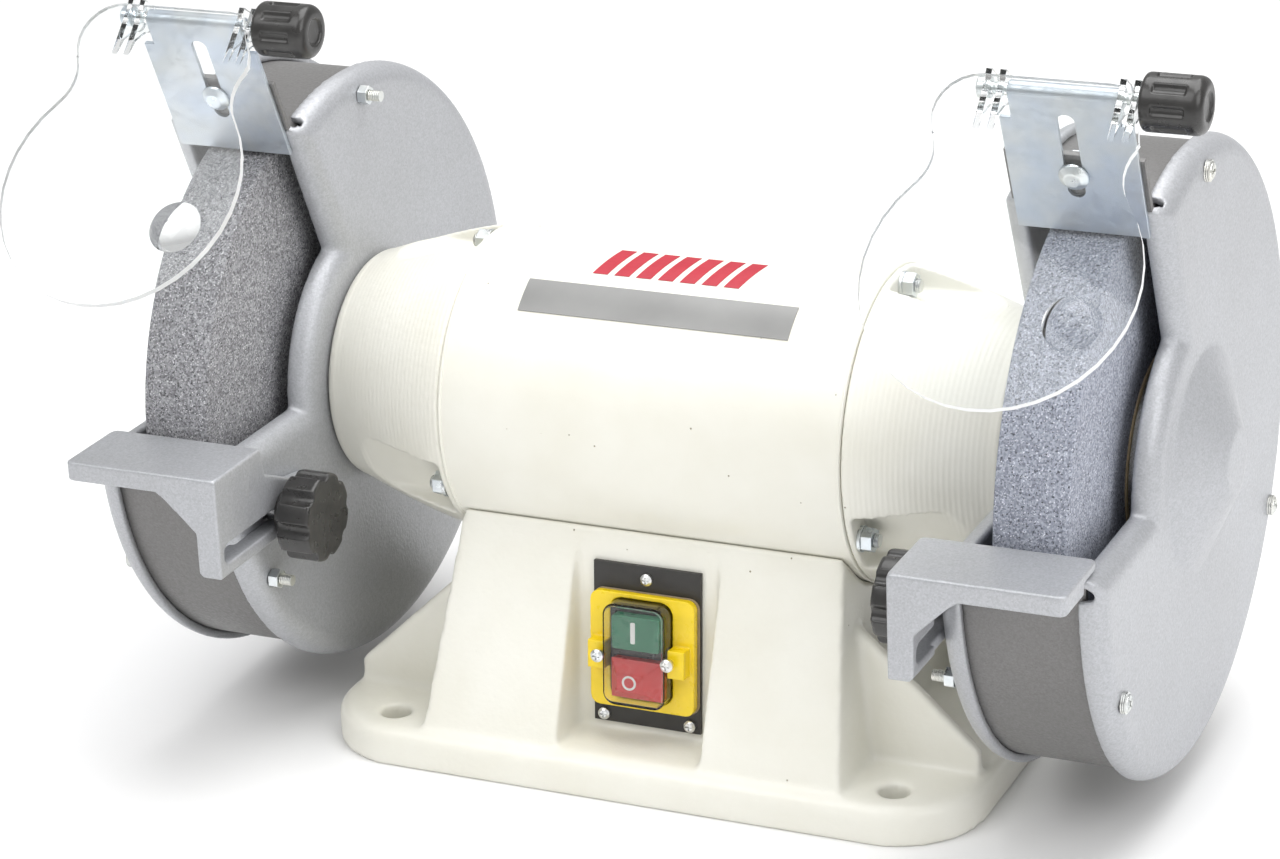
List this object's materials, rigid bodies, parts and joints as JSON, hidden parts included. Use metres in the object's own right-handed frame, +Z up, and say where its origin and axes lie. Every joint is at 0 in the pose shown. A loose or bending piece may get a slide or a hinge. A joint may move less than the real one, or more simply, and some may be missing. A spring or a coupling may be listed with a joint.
{
  "type": "bench grinder",
  "caption": "Bench grinder: a cast motor base carries a grinding wheel in a guard at each end, with tool rests, spark deflectors, clear eye shields and a guarded start and stop switch.",
  "frame": {"origin": "centre of the bench bolt pattern on the underside of the base", "axes": "+X along the shaft towards the right-hand wheel as the operator sees it, +Y away from the operator, +Z up"},
  "size_m": [0.5195, 0.3238, 0.3503],
  "materials": {
    "cream_paint": "semi-gloss cream enamel over rough cast iron",
    "grey_paint": "silver-grey hammered enamel on castings",
    "grey_sheet": "silver-grey paint on rolled sheet",
    "wheel_grit": "open grey aluminium-oxide grit",
    "zinc": "bright zinc plate",
    "black_plastic": "glossy black thermoset",
    "black_plate": "black anodised plate, satin",
    "yellow_plastic": "glossy yellow",
    "green_plastic": "glossy green",
    "red_plastic": "glossy red",
    "clear_plastic": "clear moulded plastic",
    "gasket": "soft moulded rubber",
    "chrome_screws": "bright nickel plate",
    "label_print": "printed grey foil",
    "turned_steel": "turned and ground steel",
    "bearing_steel": "ground bearing steel",
    "core_iron": "laminated electrical steel",
    "rotor_alloy": "die-cast aluminium",
    "winding": "varnished enamelled copper wire",
    "bush": "moulded white bush",
    "blotter_paper": "pressed blotting paper"
  },
  "bodies": {
    "frame": {"base_casting": "cream_paint", "motor_housing": "cream_paint", "left_end_bell": "cream_paint", "right_end_bell": "cream_paint", "left_inner_cheek": "grey_paint", "left_outer_cheek": "grey_paint", "right_inner_cheek": "grey_paint", "right_outer_cheek": "grey_paint", "left_guard_band": "grey_sheet", "right_guard_band": "grey_sheet", "tie_studs": "zinc", "tie_washers": "zinc", "tie_nuts": "zinc", "guard_bolts": "zinc", "guard_nuts": "zinc", "deflector_bolts": "zinc", "deflector_nuts": "zinc", "cheek_screws": "zinc", "motor_mount_bolts": "zinc", "switch_body": "black_plastic", "cable_gland": "black_plastic", "gland_nut": "black_plastic", "switch_plate": "black_plate", "switch_frame": "yellow_plastic", "switch_cover": "clear_plastic", "switch_gasket": "gasket", "switch_plate_screws": "chrome_screws", "switch_cover_screws": "chrome_screws", "label_strip": "label_print", "rest_studs": "turned_steel", "bearing_outer_rings": "bearing_steel", "preload_washers": "bearing_steel", "stator_core": "core_iron", "stator_windings": "winding"},
    "rotor": {"shaft": "turned_steel", "rotor_core": "core_iron", "rotor_end_rings": "rotor_alloy", "bearing_inner_rings": "bearing_steel", "shaft_seals": "gasket", "left_wheel": "wheel_grit", "right_wheel": "wheel_grit", "wheel_bushes": "bush", "blotters": "blotter_paper", "inner_flanges": "turned_steel", "outer_flanges": "turned_steel", "shaft_nuts": "turned_steel"},
    "left_rest": {"left_tool_rest": "grey_paint"},
    "right_rest": {"right_tool_rest": "grey_paint"},
    "left_rest_knob": {"left_rest_knob": "black_plastic"},
    "right_rest_knob": {"right_rest_knob": "black_plastic"},
    "left_spark_guard": {"left_deflector": "zinc", "left_hinge_bolt": "zinc"},
    "right_spark_guard": {"right_deflector": "zinc", "right_hinge_bolt": "zinc"},
    "left_shield": {"left_eye_shield": "clear_plastic"},
    "right_shield": {"right_eye_shield": "clear_plastic"},
    "left_shield_knob": {"left_shield_knob": "black_plastic"},
    "right_shield_knob": {"right_shield_knob": "black_plastic"},
    "start_button": {"start_button": "green_plastic"},
    "stop_button": {"stop_button": "red_plastic"}
  },
  "joints": [
    {"name": "rotor_spin", "type": "hinge", "parent": "frame", "child": "rotor", "pos_m": [0, 0, 0.157], "axis": [1, 0, 0], "continuous": true},
    {"name": "left_rest_slide", "type": "slide", "parent": "frame", "child": "left_rest", "axis": [0, -1, 0], "range_m": [-0.002, 0.02]},
    {"name": "left_rest_knob_turn", "type": "hinge", "parent": "frame", "child": "left_rest_knob", "pos_m": [-0.14, -0.112, 0.1255], "axis": [-1, 0, 0], "range_deg": [-30, 330]},
    {"name": "left_spark_guard_slide", "type": "slide", "parent": "frame", "child": "left_spark_guard", "axis": [0, -0.4067, 0.9135], "range_m": [-0.0015, 0.008]},
    {"name": "left_shield_tilt", "type": "hinge", "parent": "left_spark_guard", "child": "left_shield", "pos_m": [-0.199, -0.07864, 0.33829], "axis": [1, 0, 0], "range_deg": [-75, 20]},
    {"name": "left_shield_knob_turn", "type": "hinge", "parent": "left_spark_guard", "child": "left_shield_knob", "pos_m": [-0.153, -0.07864, 0.33829], "axis": [1, 0, 0], "range_deg": [-30, 330]},
    {"name": "right_rest_slide", "type": "slide", "parent": "frame", "child": "right_rest", "axis": [0, -1, 0], "range_m": [-0.002, 0.02]},
    {"name": "right_rest_knob_turn", "type": "hinge", "parent": "frame", "child": "right_rest_knob", "pos_m": [0.14, -0.112, 0.1255], "axis": [1, 0, 0], "range_deg": [-30, 330]},
    {"name": "right_spark_guard_slide", "type": "slide", "parent": "frame", "child": "right_spark_guard", "axis": [0, -0.4067, 0.9135], "range_m": [-0.0015, 0.008]},
    {"name": "right_shield_tilt", "type": "hinge", "parent": "right_spark_guard", "child": "right_shield", "pos_m": [0.199, -0.07864, 0.33829], "axis": [1, 0, 0], "range_deg": [-75, 20]},
    {"name": "right_shield_knob_turn", "type": "hinge", "parent": "right_spark_guard", "child": "right_shield_knob", "pos_m": [0.245, -0.07864, 0.33829], "axis": [1, 0, 0], "range_deg": [-30, 330]},
    {"name": "start_press", "type": "slide", "parent": "frame", "child": "start_button", "axis": [0, 0.9962, -0.0872], "range_m": [0, 0.0025], "stiffness_N_per_m": 600},
    {"name": "stop_press", "type": "slide", "parent": "frame", "child": "stop_button", "axis": [0, 0.9962, -0.0872], "range_m": [0, 0.0025], "stiffness_N_per_m": 600}
  ]
}
